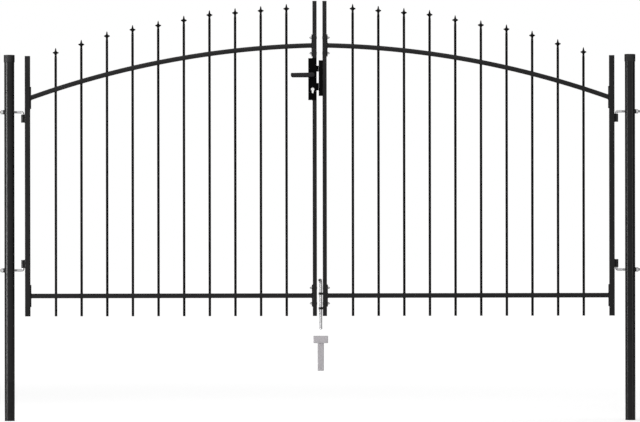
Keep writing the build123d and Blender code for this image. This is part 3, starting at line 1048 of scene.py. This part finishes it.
for node, finish in kept_nodes.items():
    mesh = frame["nodes"][node].data
    mesh.materials.clear()
    mesh.materials.append(materials[finish])
    smooth(mesh)


# Studio
def looking_rays(tree):
    """One for rays that look at a surface or mirror it, and zero for the light itself."""
    path = tree.nodes.new("ShaderNodeLightPath")
    value = path.outputs["Is Camera Ray"]
    for ray in ("Is Glossy Ray", "Is Transmission Ray"):
        either = tree.nodes.new("ShaderNodeMath")
        either.operation = "MAXIMUM"
        tree.links.new(value, either.inputs[0])
        tree.links.new(path.outputs[ray], either.inputs[1])
        value = either.outputs["Value"]
    return value


def world():
    """White to look at, and a soft even light."""
    made = bpy.data.worlds.new("studio")
    bpy.context.scene.world = made
    made.use_nodes = True
    nodes, links = made.node_tree.nodes, made.node_tree.links
    light = nodes["Background"]
    light.inputs["Color"].default_value = (1, 1, 1, 1)
    light.inputs["Strength"].default_value = world_light
    white = nodes.new("ShaderNodeBackground")
    white.inputs["Color"].default_value = (1, 1, 1, 1)
    white.inputs["Strength"].default_value = 1.0
    mix = nodes.new("ShaderNodeMixShader")
    links.new(looking_rays(made.node_tree), mix.inputs["Fac"])
    links.new(light.outputs["Background"], mix.inputs[1])
    links.new(white.outputs["Background"], mix.inputs[2])
    links.new(mix.outputs["Shader"], nodes["World Output"].inputs["Surface"])


def stage_sheet(name, corners, material):
    """A flat sheet of the studio."""
    mesh = bpy.data.meshes.new(name)
    mesh.from_pydata(corners, [], [(0, 1, 2, 3)])
    mesh.materials.append(material)
    made = bpy.data.objects.new(name, mesh)
    bpy.context.scene.collection.objects.link(made)
    return made


def floor():
    """White floor that keeps the shadow near the gate and fades into the white behind it."""
    material = new_material("floor_white", (0.8, 0.8, 0.8), metallic=0.0, roughness=0.9, specular=0.0)
    nodes, links = material.node_tree.nodes, material.node_tree.links
    distance = nodes.new("ShaderNodeVectorMath")
    distance.operation = "LENGTH"
    links.new(nodes.new("ShaderNodeTexCoord").outputs["Object"], distance.inputs[0])
    fade = nodes.new("ShaderNodeMapRange")
    fade.interpolation_type = "SMOOTHSTEP"
    fade.inputs["From Min"].default_value = floor_fade_start
    fade.inputs["From Max"].default_value = floor_fade_end
    fade.inputs["To Min"].default_value = floor_near_glow
    fade.inputs["To Max"].default_value = floor_far_glow
    links.new(distance.outputs["Value"], fade.inputs["Value"])
    strength = nodes.new("ShaderNodeMath")
    strength.operation = "MULTIPLY"
    links.new(fade.outputs["Result"], strength.inputs[0])
    links.new(looking_rays(material.node_tree), strength.inputs[1])
    glow = nodes.new("ShaderNodeEmission")
    links.new(strength.outputs["Value"], glow.inputs["Strength"])
    both = nodes.new("ShaderNodeAddShader")
    links.new(nodes["Principled BSDF"].outputs["BSDF"], both.inputs[0])
    links.new(glow.outputs["Emission"], both.inputs[1])
    links.new(both.outputs["Shader"], nodes["Material Output"].inputs["Surface"])
    half = floor_size / 2
    corners = [(-half, -half, 0), (half, -half, 0), (half, half, 0), (-half, half, 0)]
    made = stage_sheet("floor", corners, material)
    made.location = (gate_centre, 0, -floor_drop)


def flag(name, start, end):
    """Black card out of the picture, which gives round pieces their dark edges."""
    corners = [(*start, 0), (*end, 0), (*end, flag_height), (*start, flag_height)]
    black = new_material(name, (0, 0, 0), metallic=0.0, roughness=1.0, specular=0.0)
    made = stage_sheet(name, corners, black)
    made.visible_camera = False
    made.visible_diffuse = False
    made.visible_shadow = False


def softbox(name, place, target, width, height, power, spread=math.pi):
    lamp = bpy.data.lights.new(name, "AREA")
    lamp.spread = spread
    lamp.shape = "RECTANGLE"
    lamp.size, lamp.size_y = width, height
    lamp.energy = power
    made = bpy.data.objects.new(name, lamp)
    made.location = place
    made.rotation_euler = (Vector(target) - Vector(place)).to_track_quat("-Z", "Y").to_euler()
    bpy.context.scene.collection.objects.link(made)
    made.visible_camera = False


def camera():
    lens = bpy.data.cameras.new("camera")
    lens.sensor_width = sensor_width_mm
    lens.lens = lens.sensor_width * camera_distance / picture_width_at_gate
    lens.clip_start, lens.clip_end = clip_near, clip_far
    made = bpy.data.objects.new("camera", lens)
    made.location = (camera_place_x, -camera_distance, camera_place_z)
    level = Matrix.Rotation(math.pi / 2, 3, "X")
    made.rotation_euler = (level @ Matrix.Rotation(camera_roll, 3, "Z")).to_euler()
    bpy.context.scene.collection.objects.link(made)
    bpy.context.scene.camera = made


world()
floor()
flag("back_flag", (flag_left, flag_back), (flag_right, flag_back))
flag("left_flag", (flag_left, left_flag_front), (flag_left, flag_back))
flag("right_flag", (right_flag_place, right_flag_front), (right_flag_place, flag_back))
softbox("key", key_place, key_target, strip_width, strip_height, key_power, strip_spread)
softbox("rim", rim_place, rim_target, strip_width, strip_height, rim_power, strip_spread)
softbox("fill", fill_place, fill_target, fill_width, fill_height, fill_power)
softbox("top", top_place, top_target, top_width, top_depth, top_power)
camera()
bpy.context.scene.view_settings.view_transform = "Standard"
